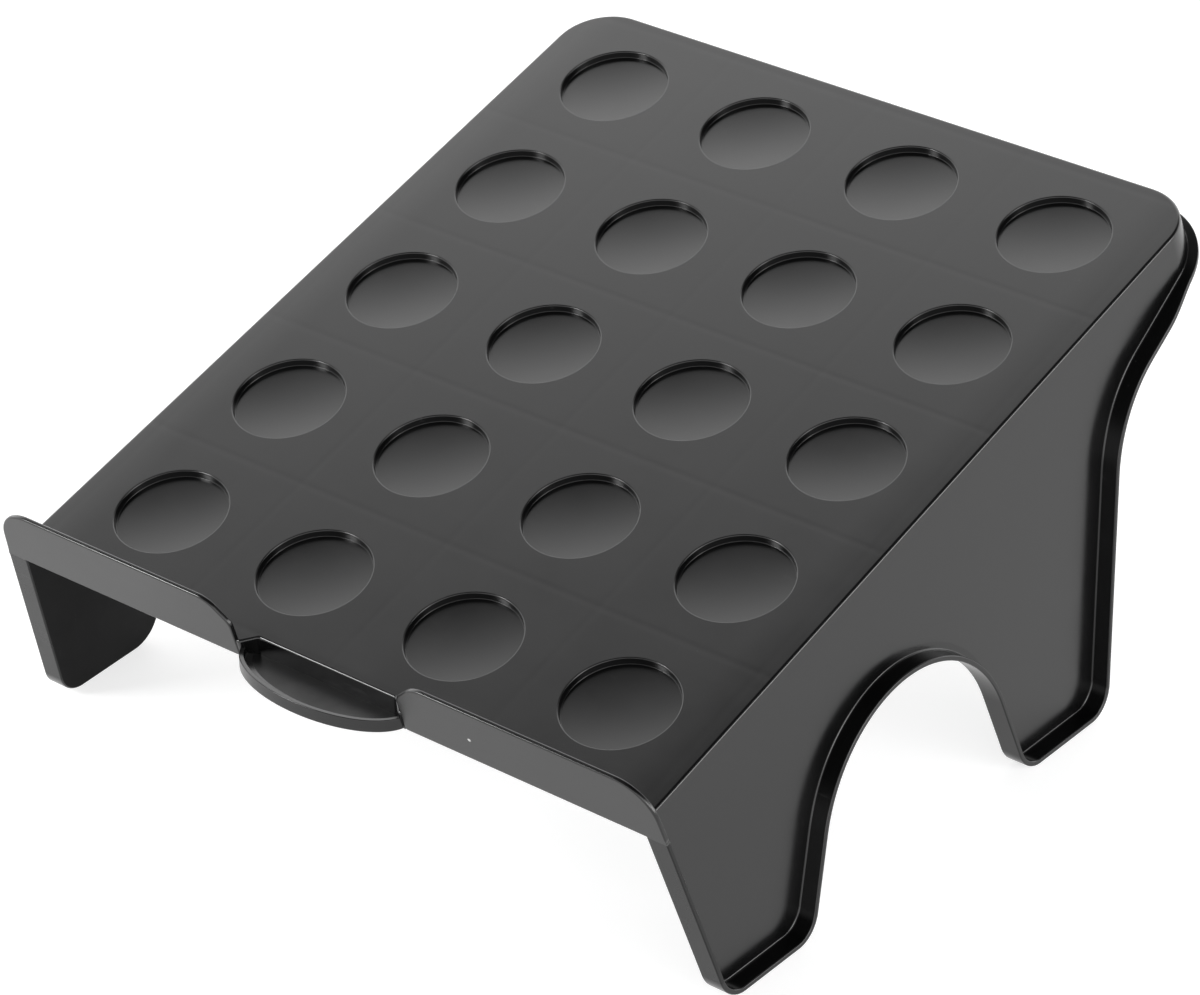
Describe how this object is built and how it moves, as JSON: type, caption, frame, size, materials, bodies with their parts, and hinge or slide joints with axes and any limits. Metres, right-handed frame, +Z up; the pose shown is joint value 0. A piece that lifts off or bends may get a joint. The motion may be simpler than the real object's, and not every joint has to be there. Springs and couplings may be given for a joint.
{
  "type": "sloped ramp stand",
  "caption": "Sloped black moulded stand with a dished deck, a front lip with finger notch and tab, and arched flanged side walls ending in feet.",
  "frame": {"origin": "middle of the footprint's bounding box, on the surface the feet stand on", "axes": "+Z up, +Y from the low lipped edge to the high back edge, +X to the right seen from the front"},
  "size_m": [0.3506, 0.3799, 0.1792],
  "materials": {
    "black_plastic": "satin gloss, smooth moulded"
  },
  "bodies": {
    "root": {"arch_rim_left": "black_plastic", "arch_rim_right": "black_plastic", "back_rim": "black_plastic", "back_wall": "black_plastic", "cross_rib_1": "black_plastic", "cross_rib_2": "black_plastic", "cross_rib_3": "black_plastic", "cross_rib_4": "black_plastic", "deck_plate": "black_plastic", "finger_notch_wall": "black_plastic", "finger_tab": "black_plastic", "front_foot_sole_left": "black_plastic", "front_foot_sole_right": "black_plastic", "front_leg_strip_left": "black_plastic", "front_leg_strip_right": "black_plastic", "front_lip_left": "black_plastic", "front_lip_right": "black_plastic", "long_rib_centre": "black_plastic", "long_rib_left": "black_plastic", "long_rib_right": "black_plastic", "rear_foot_sole_left": "black_plastic", "rear_foot_sole_right": "black_plastic", "rear_leg_rim_left": "black_plastic", "rear_leg_rim_right": "black_plastic", "side_wall_left": "black_plastic", "side_wall_right": "black_plastic"}
  },
  "joints": []
}
